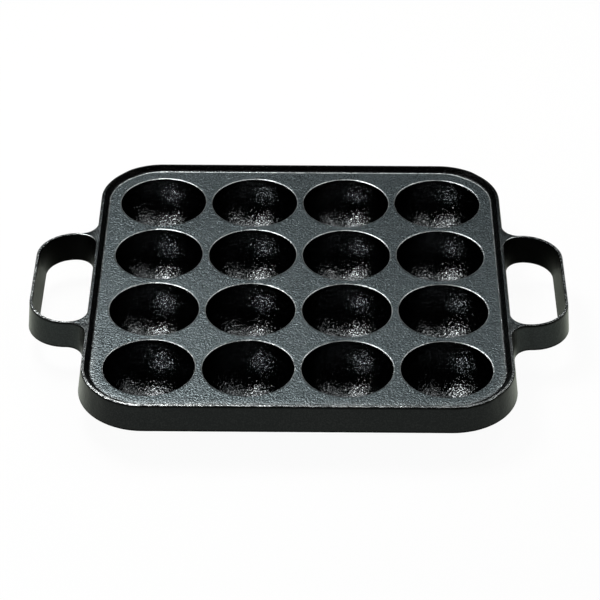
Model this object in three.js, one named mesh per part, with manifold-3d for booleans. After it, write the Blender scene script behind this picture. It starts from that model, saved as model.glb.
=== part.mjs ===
// A takoyaki pan of cast iron: a square plate with rows of half-round cups, a raised rim
// round the plate, a short skirt that leans outward, and a loop handle on each side.
//
// The real pan is a single casting. It is cut here into the regions that a person would
// name: every cup with its tile of the plate, the four walls, and the two handles. Each
// region is a closed solid, and neighbours meet face to face on shared planes, so that
// together they fill exactly the space of the casting.
//
// Lengths are in millimetres and +Z is up. The pan stands on the flat feet of its cups at
// Z = 0 and is centred on X and Y. X runs from handle to handle, and -Y is the front.

import * as THREE from 'three';
import { mergeVertices } from 'three/addons/utils/BufferGeometryUtils.js';
import Module from 'manifold-3d';

// Cups: half-round hollows on a square grid, with a land of plate between their mouths
const cupsPerSide = 4;
const cupLand = 2.67;
const cupRadius = 20;
const cupWall = 3;
const cupMouthRounding = 0.3;
const cupFootCut = 0.55;

// Plate: the flat top between the cups and out to the rim
const plateThickness = 3.5;
const plateBorder = 4.3;
const cornerLand = 1.3;

// Rim: a slope up from the plate to a narrow flat top
const rimHeight = 2.1;
const rimSlopeRun = 2.1;
const rimTopWidth = 1.4;
const cornerRadius = 28.1;

// Skirt: the outer wall from the rim's top down to its foot
const skirtDrop = 11;
const skirtLean = 1.8;
const skirtWall = 3.2;

// Handles: upright bands as high as the wall, thin at the top and thick at the bottom
const handleReach = 26.7;
const handleWidth = 71;
const handleTopThickness = 1.35;
const handleOuterLean = 1;
const handleInnerLean = 2.4;
const handleCornerRadius = 18;
const handleRootRadius = 8;
const handleGapRadius = 8;
const handleRootStub = 1;
const handleRootSink = 0.15;

// How far a cutting solid runs past what it cuts
const cutOverrun = 5;

// Facets: steps round a cup, up a cup, round its mouth, and round a quarter circle
const cupFacets = 24;
const cupRings = 5;
const mouthRings = 2;
const cornerFacets = 8;
const handleFacets = 6;

// Heights
const plateTop = cupRadius + cupWall - cupFootCut;
const rimTop = plateTop + rimHeight;
const plateUnderside = plateTop - plateThickness;
const skirtFoot = plateTop - skirtDrop;
const wallHeight = rimTop - skirtFoot;

// Cup mouths, and the distance between the centres of neighbouring cups
const cupMouthRadius = Math.sqrt(cupRadius * cupRadius + 2 * cupRadius * cupMouthRounding);
const cupPitch = 2 * cupMouthRadius + cupLand;

// Half sizes, from the centre line outward
const gridHalf = cupPitch * cupsPerSide / 2;
const bodyHalf = gridHalf + plateBorder + rimSlopeRun + rimTopWidth;
const skirtFootHalf = bodyHalf + skirtLean;
const handleRootFace = skirtFootHalf + handleRootStub;

const wasm = await Module();
wasm.setup();

/** Turns a closed surface into a solid that can be joined and cut. */
function solid(geometry) {
  geometry.deleteAttribute('normal');
  geometry.deleteAttribute('uv');
  const merged = mergeVertices(geometry);
  return new wasm.Manifold(new wasm.Mesh({
    numProp: 3,
    vertProperties: new Float32Array(merged.attributes.position.array),
    triVerts: new Uint32Array(merged.index.array),
  }));
}

/** Gives a solid back as a faceted surface. */
function surface(shape) {
  const mesh = shape.getMesh();
  const geometry = new THREE.BufferGeometry();
  geometry.setAttribute('position', new THREE.BufferAttribute(mesh.vertProperties, 3));
  geometry.setIndex(new THREE.BufferAttribute(mesh.triVerts, 1));
  const flat = geometry.toNonIndexed();
  flat.computeVertexNormals();
  return flat;
}

/** A closed surface through outlines of equal length, stacked from the lowest up. */
function loft(levels) {
  const count = levels[0].outline.length;
  const positions = levels.flatMap(({ outline, z }) => outline.flatMap((p) => [p.x, p.y, z]));
  const index = [];
  for (let low = 0; low < (levels.length - 1) * count; low += count) {
    for (let i = 0; i < count; i += 1) {
      const next = (i + 1) % count;
      index.push(low + i, low + next, low + count + next);
      index.push(low + i, low + count + next, low + count + i);
    }
  }
  const lowest = levels[0].outline;
  const highest = levels[levels.length - 1].outline;
  const lid = positions.length / 3 - count;
  THREE.ShapeUtils.triangulateShape(lowest, []).forEach(([a, b, c]) => index.push(a, c, b));
  THREE.ShapeUtils.triangulateShape(highest, [])
    .forEach(([a, b, c]) => index.push(lid + a, lid + b, lid + c));
  const geometry = new THREE.BufferGeometry();
  geometry.setAttribute('position', new THREE.Float32BufferAttribute(positions, 3));
  geometry.setIndex(index);
  return solid(geometry);
}

/** A block between two corners in plan, taller than the pan. */
function block(x0, x1, y0, y1) {
  const height = rimTop + 2 * cutOverrun;
  const box = new THREE.BoxGeometry(1, 1, 1).toNonIndexed();
  const position = box.attributes.position;
  for (let i = 0; i < position.count; i += 1) {
    const x = position.getX(i) > 0 ? x1 : x0;
    const y = position.getY(i) > 0 ? y1 : y0;
    const z = position.getZ(i) > 0 ? height - cutOverrun : -cutOverrun;
    position.setXYZ(i, x, y, z);
  }
  return solid(box);
}

/** Points of an arc about a centre, from one angle to another. */
function arc(centreX, centreY, radius, from, to, facets) {
  return Array.from({ length: facets + 1 }, (_, step) => {
    const angle = from + (to - from) * step / facets;
    return new THREE.Vector2(centreX + radius * Math.cos(angle), centreY + radius * Math.sin(angle));
  });
}

/** The pan's outline in plan, grown by offset from the outer edge of the rim's top. */
function panOutline(offset) {
  const half = bodyHalf + offset;
  const radius = cornerRadius + offset;
  const centre = half - radius;
  const quarter = Math.PI / 2;
  const places = [[1, 1], [-1, 1], [-1, -1], [1, -1]];
  return places.flatMap(([sideX, sideY], turn) => arc(
    sideX * centre,
    sideY * centre,
    radius,
    turn * quarter,
    (turn + 1) * quarter,
    cornerFacets,
  ));
}

/** How far the skirt's outer face stands out from the rim's top edge at a height. */
function skirtOffset(z) {
  return skirtLean * (rimTop - z) / wallHeight;
}

/** The tray without its cups: rim, plate and skirt. */
function makeTray() {
  const outside = loft([
    { outline: panOutline(skirtLean), z: skirtFoot },
    { outline: panOutline(0), z: rimTop },
  ]);
  const below = skirtFoot - cutOverrun;
  const underside = loft([
    { outline: panOutline(skirtOffset(below) - skirtWall), z: below },
    { outline: panOutline(skirtOffset(plateUnderside) - skirtWall), z: plateUnderside },
  ]);
  const slope = rimSlopeRun / rimHeight;
  const above = rimTop + cutOverrun;
  const recess = loft([
    { outline: panOutline(-rimTopWidth - rimSlopeRun), z: plateTop },
    { outline: panOutline(-rimTopWidth + cutOverrun * slope), z: above },
  ]);
  return outside.subtract(underside).subtract(recess);
}

/** A round body about a vertical axis at x, y, from a profile of radius and height. */
function turned(profile, x, y) {
  const geometry = new THREE.LatheGeometry(profile, cupFacets);
  geometry.rotateX(Math.PI / 2);
  geometry.translate(x, y, 0);
  return solid(geometry);
}

/** The bowl that hangs under a cup, with a small flat foot. */
function makeBowl(x, y) {
  const radius = cupRadius + cupWall;
  const footDrop = radius - cupFootCut;
  const buried = plateThickness / 2;
  const footAngle = -Math.asin(footDrop / radius);
  const buriedAngle = -Math.asin(buried / radius);
  const profile = [
    new THREE.Vector2(0, 0),
    ...arc(0, plateTop, radius, footAngle, buriedAngle, cupRings),
    new THREE.Vector2(0, plateTop - buried),
  ];
  return turned(profile, x, y);
}

/** The hollow of a cup, half a ball with a rounded edge at its mouth. */
function makeHollow(x, y) {
  const meetAngle = Math.atan2(cupMouthRounding, cupMouthRadius);
  const ball = arc(0, plateTop, cupRadius, -Math.PI / 2, -meetAngle, cupRings);
  const edge = arc(
    cupMouthRadius,
    plateTop - cupMouthRounding,
    cupMouthRounding,
    Math.PI - meetAngle,
    Math.PI / 2,
    mouthRings,
  );
  const profile = [
    new THREE.Vector2(0, plateTop - cupRadius),
    ...ball.slice(1),
    ...edge.slice(1),
    new THREE.Vector2(cupMouthRadius, rimTop + cutOverrun),
    new THREE.Vector2(0, rimTop + cutOverrun),
  ];
  return turned(profile, x, y);
}

/** Half of a handle's outer outline in plan, from its root to its middle, on the +Y side. */
function handleOuterHalf(wallX, lean) {
  const halfWidth = handleWidth / 2 + lean;
  const outerX = bodyHalf + handleReach + lean;
  const rootX = wallX - handleRootSink + handleRootRadius;
  const bend = Math.min(handleCornerRadius + lean, outerX - rootX, halfWidth);
  return [
    ...arc(outerX - bend, halfWidth - bend, bend, 0, Math.PI / 2, handleFacets),
    ...arc(
      rootX,
      halfWidth + handleRootRadius,
      handleRootRadius,
      -Math.PI / 2,
      -Math.PI,
      handleFacets,
    ),
    new THREE.Vector2(bodyHalf - rimTopWidth / 2, halfWidth + handleRootRadius),
  ];
}

/** Half of the outline of the gap inside a handle, on the +Y side. */
function handleGapHalf(wallX, lean) {
  const halfWidth = handleWidth / 2 - handleTopThickness - lean;
  const outerX = bodyHalf + handleReach - handleTopThickness - lean;
  const rootX = wallX - handleRootSink + handleGapRadius;
  const ownBend = handleCornerRadius - handleTopThickness - lean;
  const bend = Math.min(ownBend, outerX - rootX, halfWidth);
  return [
    ...arc(outerX - bend, halfWidth - bend, bend, 0, Math.PI / 2, handleFacets),
    ...arc(
      rootX,
      halfWidth - handleGapRadius,
      handleGapRadius,
      Math.PI / 2,
      Math.PI,
      handleFacets,
    ),
    new THREE.Vector2(bodyHalf - rimTopWidth, halfWidth - handleGapRadius),
  ];
}

/** A whole outline from its half on the +Y side, run the right way round. */
function mirrored(half) {
  const other = half.map((p) => new THREE.Vector2(p.x, -p.y)).reverse();
  return [...half, ...other];
}

/** The handle on the +X side, with its roots running into the wall. */
function makeHandle() {
  const band = loft([
    { outline: mirrored(handleOuterHalf(skirtFootHalf, handleOuterLean)), z: skirtFoot },
    { outline: mirrored(handleOuterHalf(bodyHalf, 0)), z: rimTop },
  ]);
  const gapAtFoot = mirrored(handleGapHalf(skirtFootHalf, handleInnerLean));
  const gapAtTop = mirrored(handleGapHalf(bodyHalf, 0));
  const gap = loft([
    { outline: gapAtFoot, z: skirtFoot - cutOverrun },
    { outline: gapAtFoot, z: skirtFoot },
    { outline: gapAtTop, z: rimTop },
    { outline: gapAtTop, z: rimTop + cutOverrun },
  ]);
  return band.subtract(gap);
}

/** The same shape on the other side of the pan, after half a turn about Z. */
function opposite(shape) {
  const geometry = surface(shape);
  geometry.scale(-1, -1, 1);
  return solid(geometry);
}

// Lines of the grid along one side, and the centres of the cups between them
const gridLines = Array.from({ length: cupsPerSide + 1 }, (_, line) => line * cupPitch - gridHalf);
const cupPlaces = gridLines.slice(1).map((line) => line - cupPitch / 2);

// The whole casting, with the roots of both handles
const handle = makeHandle();
const farX = bodyHalf + handleReach + handleOuterLean + cutOverrun;
const farY = skirtFootHalf + cutOverrun;
const beyondRoot = block(handleRootFace, farX, -farY, farY);
const rootStubs = handle.subtract(beyondRoot);
let casting = makeTray().add(rootStubs).add(opposite(rootStubs));
cupPlaces.forEach((x) => cupPlaces.forEach((y) => {
  casting = casting.add(makeBowl(x, y));
}));
cupPlaces.forEach((x) => cupPlaces.forEach((y) => {
  casting = casting.subtract(makeHollow(x, y));
}));

// The tiles of the plate: squares, with the pan's four corners left to the walls
const notchFrom = gridHalf - cupPitch / 2 + (cupMouthRadius + cornerLand) * Math.SQRT1_2;
const notches = [1, -1].flatMap((sideX) => [1, -1].map((sideY) => block(
  Math.min(sideX * notchFrom, sideX * farX),
  Math.max(sideX * notchFrom, sideX * farX),
  Math.min(sideY * notchFrom, sideY * farY),
  Math.max(sideY * notchFrom, sideY * farY),
)));
const allTiles = notches.reduce(
  (area, notch) => area.subtract(notch),
  block(-gridHalf, gridHalf, -gridHalf, gridHalf),
);

// The walls: front and back with their corners, left and right between them
const wallJoint = (handleWidth / 2 + handleOuterLean + handleRootRadius + bodyHalf - cornerRadius) / 2;
const walls = casting.subtract(allTiles);
const wallRegions = {
  front_wall: block(-farX, farX, -farY, -wallJoint),
  back_wall: block(-farX, farX, wallJoint, farY),
  left_wall: block(-farX, 0, -wallJoint, wallJoint),
  right_wall: block(0, farX, -wallJoint, wallJoint),
};

const pan = new THREE.Group();

/** Adds one region of the casting as a named mesh in black iron. */
function addRegion(name, shape) {
  const iron = new THREE.MeshStandardMaterial({ color: 0x394245, roughness: 0.55, metalness: 0.3 });
  const mesh = new THREE.Mesh(surface(shape), iron);
  mesh.name = name;
  pan.add(mesh);
}

const tilesOfCasting = casting.intersect(allTiles);
for (let row = 1; row <= cupsPerSide; row += 1) {
  for (let column = 1; column <= cupsPerSide; column += 1) {
    const tile = block(
      gridLines[column - 1],
      gridLines[column],
      gridLines[row - 1],
      gridLines[row],
    );
    addRegion(`cup_row_${row}_column_${column}`, tilesOfCasting.intersect(tile));
  }
}
Object.entries(wallRegions).forEach(([name, region]) => addRegion(name, walls.intersect(region)));
const grip = handle.intersect(beyondRoot);
addRegion('right_handle', grip);
addRegion('left_handle', opposite(grip));

export default pan;
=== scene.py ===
"""A black cast-iron takoyaki pan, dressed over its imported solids.

The pan is one casting: a square plate with rows of half-round cups, a raised rim, a skirt that
leans outward and a loop handle on each side. Its surfaces are worked out in millimetres as whole
arrays of points, and become meshes in metres.
"""

import logging
import math
from dataclasses import dataclass, field
from enum import Enum
from typing import Any

import bmesh
import bpy
import numpy as np
from mathutils import Matrix
from mathutils.geometry import delaunay_2d_cdt

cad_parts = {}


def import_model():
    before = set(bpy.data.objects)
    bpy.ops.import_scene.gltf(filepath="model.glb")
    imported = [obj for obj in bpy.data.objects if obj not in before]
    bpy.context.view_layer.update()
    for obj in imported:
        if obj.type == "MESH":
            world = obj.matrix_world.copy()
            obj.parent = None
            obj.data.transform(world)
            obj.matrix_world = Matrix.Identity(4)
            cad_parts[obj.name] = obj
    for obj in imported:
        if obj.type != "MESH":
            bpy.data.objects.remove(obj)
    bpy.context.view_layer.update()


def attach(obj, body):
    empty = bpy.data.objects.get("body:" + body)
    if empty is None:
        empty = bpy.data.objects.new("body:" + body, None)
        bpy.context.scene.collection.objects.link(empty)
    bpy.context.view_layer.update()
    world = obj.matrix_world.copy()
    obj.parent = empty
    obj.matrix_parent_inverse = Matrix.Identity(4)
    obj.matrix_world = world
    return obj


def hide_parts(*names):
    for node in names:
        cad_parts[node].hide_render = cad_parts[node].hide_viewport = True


Array = np.ndarray
Colour = tuple[float, float, float]
Pair = tuple[float, float]

MM = 0.001
SHARP_ANGLE = 50

log = logging.getLogger("takoyaki_pan")


class Ray(Enum):
    """Kinds of ray that the studio tells apart, by the names of the light path's outputs."""

    CAMERA = "Is Camera Ray"
    GLOSSY = "Is Glossy Ray"


class Slot(Enum):
    """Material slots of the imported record."""

    PLATE = "plate_iron"
    WALL = "wall_iron"
    HANDLE = "handle_iron"


class Mark(Enum):
    """What a point of the surface is marked with, by the names of the mesh's attributes."""

    OPEN = "open_face"
    # Paler tone of the flat land and the rim's top, partly painted sheen for the light that they
    # reflect.
    LAND_AND_PAINTED_SHEEN = "plate_land"
    # Bright iron on edges: partly from use, partly painted highlight laid where light catches them.
    EDGE = "worn_edge"
    # Painted shade: black, duller faces where the iron lies in shade or reflects dark surroundings.
    PAINTED_SHADE = "sooted_face"
    BORDER = "plate_border"


class Facing(Enum):
    """Which way a skin of quads looks, for rows that run along a closed loop."""

    ALONG = 1
    AGAINST = -1


@dataclass(frozen=True)
class PanSizes:
    """Sizes of the casting in millimetres. Its feet stand at Z = 0."""

    cups_per_side: int = 4
    cup_land: float = 2.67
    cup_radius: float = 20.0
    cup_wall: float = 3.0
    mouth_rounding: float = 0.3
    foot_cut: float = 0.55
    plate_thickness: float = 3.5
    plate_border: float = 4.3
    rim_height: float = 2.1
    rim_slope_run: float = 2.1
    rim_top_width: float = 1.4
    corner_radius: float = 28.1
    skirt_drop: float = 11.0
    skirt_lean: float = 1.8
    skirt_wall: float = 3.2
    handle_reach: float = 26.7
    handle_width: float = 71.0
    handle_top_thickness: float = 1.35
    handle_outer_lean: float = 1.0
    handle_inner_lean: float = 2.4
    handle_corner_radius: float = 18.0
    handle_root_radius: float = 8.0
    handle_root_stub: float = 1.0

    @property
    def plate_top(self) -> float:
        """Height of the plate's upper face."""
        return self.cup_radius + self.cup_wall - self.foot_cut

    @property
    def plate_underside(self) -> float:
        """Height of the plate's lower face."""
        return self.plate_top - self.plate_thickness

    @property
    def rim_top(self) -> float:
        """Height of the rim and of the handles."""
        return self.plate_top + self.rim_height

    @property
    def skirt_foot(self) -> float:
        """Height of the skirt's lower edge."""
        return self.plate_top - self.skirt_drop

    @property
    def bowl_radius(self) -> float:
        """Radius of a cup's outside."""
        return self.cup_radius + self.cup_wall

    @property
    def mouth_radius(self) -> float:
        """Radius of a cup's mouth on the plate, where its rounded edge ends."""
        return math.sqrt(self.cup_radius**2 + 2 * self.cup_radius * self.mouth_rounding)

    @property
    def cup_pitch(self) -> float:
        """Distance between the middles of neighbouring cups."""
        return 2 * self.mouth_radius + self.cup_land

    @property
    def grid_half(self) -> float:
        """Half the width of all the cups' tiles."""
        return self.cup_pitch * self.cups_per_side / 2

    @property
    def body_half(self) -> float:
        """Half the width over the rim's top."""
        return self.grid_half + self.plate_border + self.rim_slope_run + self.rim_top_width

    @property
    def corner_centre(self) -> float:
        """Where the middles of the pan's corner curves stand, on both axes."""
        return self.body_half - self.corner_radius

    @property
    def handle_face(self) -> float:
        """How far out the handles are parted from the walls."""
        return self.body_half + self.skirt_lean + self.handle_root_stub

    @property
    def wall_joint(self) -> float:
        """How far from the middle the side walls are parted from the front and back walls."""
        root = self.handle_width / 2 + self.handle_outer_lean + self.handle_root_radius
        return (root + self.corner_centre) / 2

    def cup_middle(self, index: int) -> float:
        """Middle of a row or column of cups, counted from 0."""
        return (index + 0.5) * self.cup_pitch - self.grid_half


@dataclass
class CastGrain:
    """The unevenness that a sand mould leaves in iron.

    The height at a point is a sum of plane waves that run in many directions:
    height * cos(wave vector . point + phase), with wavelengths spread about each band's own.
    A band has a wavelength and a height, and the crest is the height that stays on the smooth
    surface, all in millimetres.
    """

    bands: tuple[Pair, ...] = ((6.0, 0.012), (2.6, 0.012))
    crest: float = 0.055
    waves_per_band: int = 20
    spread: float = 0.35
    seed: int = 11
    vectors: Array = field(init=False)
    phases: Array = field(init=False)
    heights: Array = field(init=False)

    def __post_init__(self) -> None:
        """Draws the waves from the seed."""
        rng = np.random.default_rng(self.seed)
        count = self.waves_per_band
        ways = rng.normal(size=(len(self.bands) * count, 3))
        ways /= np.linalg.norm(ways, axis=1, keepdims=True)
        lengths = np.repeat([band[0] for band in self.bands], count)
        lengths = lengths * rng.uniform(1 - self.spread, 1 + self.spread, len(lengths))
        self.vectors = ways * (2 * math.pi / lengths)[:, None]
        self.phases = rng.uniform(0, 2 * math.pi, len(lengths))
        self.heights = np.repeat([band[1] for band in self.bands], count)
        self.heights = self.heights * math.sqrt(2 / count)

    def height(self, points: Array) -> Array:
        """Height of the grain over a smooth surface's points, all in millimetres."""
        return np.cos(points @ self.vectors.T + self.phases) @ self.heights

    def slope(self, points: Array) -> Array:
        """Change of the height along X, Y and Z: minus the sine of each wave, times its vector."""
        return -(np.sin(points @ self.vectors.T + self.phases) * self.heights) @ self.vectors


def arc(centre: tuple[float, float], radius: float, start: float, end: float, steps: int) -> Array:
    """Points of an arc in plan, at even angles in radians from start up to end, which is left out."""
    angle = np.linspace(start, end, steps, endpoint=False)
    return np.stack([centre[0] + radius * np.cos(angle), centre[1] + radius * np.sin(angle)], -1)


def line(start: tuple[float, float], end: tuple[float, float], steps: int) -> Array:
    """Points of a straight line in plan, at even steps from start up to end, which is left out."""
    share = np.arange(steps)[:, None] / steps
    return np.array(start) * (1 - share) + np.array(end) * share


def rising(values: Array, start: float, run: float) -> Array:
    """Goes from 0 at the start to 1 a run further on."""
    return np.clip((values - start) / run, 0, 1)


def shares(count: int) -> Array:
    """Even shares above 0, the last of which is 1."""
    return np.arange(1, count + 1) / count


def closed_by_mirror(half: Array) -> Array:
    """A closed loop from its half on the -Y side, whose ends both lie on the X axis."""
    other = half[::-1] * (1, -1)
    return np.concatenate([half[:-1], other[:-1]])


def filleted(
    corners: list[tuple[float, float]], radii: list[float], steps: int, spacing: float,
) -> Array:
    """A profile of straight runs with a round arc at each inner corner.

    An arc of radius r at a corner that turns by the angle a touches both runs at r * tan(a / 2)
    from the corner, and its middle lies off the first touching point at a right angle to the run.

    Args:
        corners: the corners of the profile, first and last included.
        radii: radius of the arc at each inner corner.
        steps: number of steps in an arc.
        spacing: longest step on a straight run.

    Returns:
        The points of the profile.
    """
    places = [np.array(corner, float) for corner in corners]
    runs: list[Array] = []
    last = places[0]
    for before, corner, after, radius in zip(places, places[1:], places[2:], radii):
        into = (corner - before) / np.linalg.norm(corner - before)
        out = (after - corner) / np.linalg.norm(after - corner)
        turn = math.atan2(into[0] * out[1] - into[1] * out[0], float(into @ out))
        touch = corner - into * radius * math.tan(abs(turn) / 2)
        side = math.copysign(1.0, turn)
        middle = touch + np.array([-into[1], into[0]]) * side * radius
        angle = np.linspace(0, turn, steps + 1)[:, None]
        spoke = touch - middle
        turned = spoke * np.cos(angle) + np.array([-spoke[1], spoke[0]]) * np.sin(angle)
        count = max(1, math.ceil(np.linalg.norm(touch - last) / spacing))
        runs += [line(tuple(last), tuple(touch), count), (middle + turned)[:-1]]
        last = (middle + turned)[-1]
    count = max(1, math.ceil(np.linalg.norm(places[-1] - last) / spacing))
    runs += [line(tuple(last), tuple(places[-1]), count), places[-1][None]]
    return np.concatenate(runs)


def at_height(plan: Array, height: float | Array) -> Array:
    """Points in plan lifted to a height."""
    return np.concatenate([plan, np.broadcast_to(height, plan.shape[:-1])[..., None]], -1)


def loop_normals(rows: Array, facing: Facing) -> Array:
    """Normals of a grid whose rows are closed loops: the way round crossed with the way up the rows.

    Args:
        rows: points of the grid, as rows, stations and coordinates.
        facing: ALONG where the cross product already points out of the iron.

    Returns:
        Unit normals of the same shape.
    """
    around = np.roll(rows, -1, axis=1) - np.roll(rows, 1, axis=1)
    normals = np.cross(around, np.gradient(rows, axis=0)) * facing.value
    return normals / np.linalg.norm(normals, axis=-1, keepdims=True)


def inside(points: Array, loop: Array) -> Array:
    """Which points lie inside a closed loop, by counting the edges that a ray towards +X crosses.

    Args:
        points: places in plan.
        loop: corners of the loop.

    Returns:
        True for each point inside.
    """
    start, end = loop, np.roll(loop, -1, axis=0)
    spans = (start[:, 1] > points[:, 1, None]) != (end[:, 1] > points[:, 1, None])
    rise = np.where(end[:, 1] == start[:, 1], 1.0, end[:, 1] - start[:, 1])
    crossing = start[:, 0] + (points[:, 1, None] - start[:, 1]) * (end[:, 0] - start[:, 0]) / rise
    return (spans & (crossing > points[:, 0, None])).sum(1) % 2 == 1


class Surface:
    """Gathers grids of points, in millimetres, into one closed mesh."""

    same_place = 1e-7

    def __init__(self) -> None:
        """Starts with no points."""
        self.points: list[Array] = []
        self.marks: dict[Mark, list[Array]] = {mark: [] for mark in Mark}
        self.faces: list[Array] = []
        self.count = 0

    def add(self, points: Array, marks: dict[Mark, float | Array]) -> Array:
        """Adds points and gives their numbers.

        Args:
            points: a grid or a row of points, coordinates last.
            marks: for each mark, its share there, from 0 to 1. A mark left out is 0.

        Returns:
            The number of each point, in the shape of the grid.
        """
        shape = points.shape[:-1]
        total = int(np.prod(shape))
        numbers = np.arange(self.count, self.count + total).reshape(shape)
        self.points.append(points.reshape(-1, 3))
        for mark, shares in self.marks.items():
            shares.append(np.broadcast_to(marks.get(mark, 0.0), shape).reshape(-1))
        self.count += total
        return numbers

    def skin(self, rows: Array, facing: Facing) -> None:
        """Covers rows of points, each a closed loop, with quads."""
        corners = [rows[:-1], np.roll(rows[:-1], -1, 1), np.roll(rows[1:], -1, 1), rows[1:]]
        self.faces.append(np.stack(corners[:: facing.value], -1).reshape(-1, 4))

    def cap(self, ring: Array, pole: int, facing: Facing) -> None:
        """Closes a ring of points with triangles to a point in its middle."""
        corners = [np.full(len(ring), pole), ring, np.roll(ring, -1)]
        self.faces.append(np.stack(corners[:: facing.value], -1))

    def flat(self, plan: Array, numbers: Array, loops: list[int], facing: Facing) -> None:
        """Fills the flat land inside the first loop and outside the others with triangles.

        Args:
            plan: points of all the loops in plan, loop after loop.
            numbers: the points' numbers in the mesh.
            loops: how many points each loop has.
            facing: ALONG for a face that looks up.
        """
        edges, ends = [], np.cumsum(loops)
        for start, end in zip(ends - loops, ends):
            edges += list(zip(range(start, end), [*range(start + 1, end), start]))
        _, _, triangles, sources, *_ = delaunay_2d_cdt(plan.tolist(), edges, [], 1, self.same_place)
        triangles = np.array([source[0] for source in sources])[np.array(triangles)]
        middles = plan[triangles].mean(1)
        parts = np.split(plan, ends[:-1])
        kept = inside(middles, parts[0])
        for hole in parts[1:]:
            kept &= ~inside(middles, hole)
        triangles = triangles[kept]
        first, second, third = (plan[triangles[:, corner]] for corner in range(3))
        area = np.cross(second - first, third - first)
        turned = np.where((area * facing.value > 0)[:, None], triangles, triangles[:, ::-1])
        self.faces.append(numbers[turned])

    def mesh(self, name: str) -> bpy.types.Mesh:
        """Makes the mesh, in metres, with an attribute for each mark.

        Args:
            name: the mesh's name.

        Returns:
            The closed mesh.
        """
        mesh = bpy.data.meshes.new(name)
        points = np.concatenate(self.points) * MM
        sizes = np.concatenate([np.full(len(f), f.shape[1]) for f in self.faces])
        corners = np.concatenate([f.ravel() for f in self.faces])
        mesh.vertices.add(len(points))
        mesh.vertices.foreach_set("co", points.astype(np.float32).ravel())
        mesh.loops.add(len(corners))
        mesh.loops.foreach_set("vertex_index", corners.astype(np.int32))
        mesh.polygons.add(len(sizes))
        mesh.polygons.foreach_set("loop_start", (np.cumsum(sizes) - sizes).astype(np.int32))
        mesh.update(calc_edges=True)
        mesh.polygons.foreach_set("use_smooth", np.ones(len(sizes), bool))
        for mark, shares in self.marks.items():
            attribute = mesh.attributes.new(mark.value, "FLOAT", "POINT")
            attribute.data.foreach_set("value", np.concatenate(shares).astype(np.float32))
        is_open = np.concatenate(self.marks[Mark.OPEN])
        closed = np.concatenate([is_open[faces].mean(1) < 0.5 for faces in self.faces])
        mesh.polygons.foreach_set("material_index", closed.astype(np.int32))
        return mesh


def settle_normals(mesh: bpy.types.Mesh, grain: CastGrain) -> None:
    """Parts the shading at sharp edges, and gives the points that pieces share the same normal.

    On the plate's border the normal is straight up, less the slope of the grain there.

    Args:
        mesh: the mesh to finish.
        grain: the grain that its points follow.
    """
    fully_marked, looks_up = 0.999, 0.8
    mesh.set_sharp_from_angle(angle=math.radians(SHARP_ANGLE))
    marks = np.zeros(len(mesh.vertices), np.float32)
    mesh.attributes[Mark.BORDER.value].data.foreach_get("value", marks)
    places = np.zeros(len(mesh.vertices) * 3)
    mesh.vertices.foreach_get("co", places)
    normals = np.array((0.0, 0.0, 1.0)) - grain.slope(places.reshape(-1, 3) / MM) * (1, 1, 0)
    normals /= np.linalg.norm(normals, axis=1, keepdims=True)
    corners = np.zeros(len(mesh.loops) * 3)
    mesh.corner_normals.foreach_get("vector", corners)
    corners = corners.reshape(-1, 3)
    vertex = np.zeros(len(mesh.loops), np.int32)
    mesh.loops.foreach_get("vertex_index", vertex)
    shared = (marks[vertex] > fully_marked) & (corners[:, 2] > looks_up)
    corners[shared] = normals[vertex[shared]]
    mesh.normals_split_custom_set(corners)


class Signal:
    """A shader output that can be reckoned with like a number."""

    def __init__(self, board: "ShaderBoard", output: bpy.types.NodeSocket) -> None:
        """Wraps an output of a node on a board."""
        self.board = board
        self.output = output

    def __add__(self, other: "Signal | float") -> "Signal":
        """This plus other."""
        return self.board.math("ADD", self, other)

    __radd__ = __add__

    def __sub__(self, other: "Signal | float") -> "Signal":
        """This less other."""
        return self.board.math("SUBTRACT", self, other)

    def __rsub__(self, other: float) -> "Signal":
        """Other less this."""
        return self.board.math("SUBTRACT", other, self)

    def __mul__(self, other: "Signal | float") -> "Signal":
        """This times other."""
        return self.board.math("MULTIPLY", self, other)

    __rmul__ = __mul__


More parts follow.
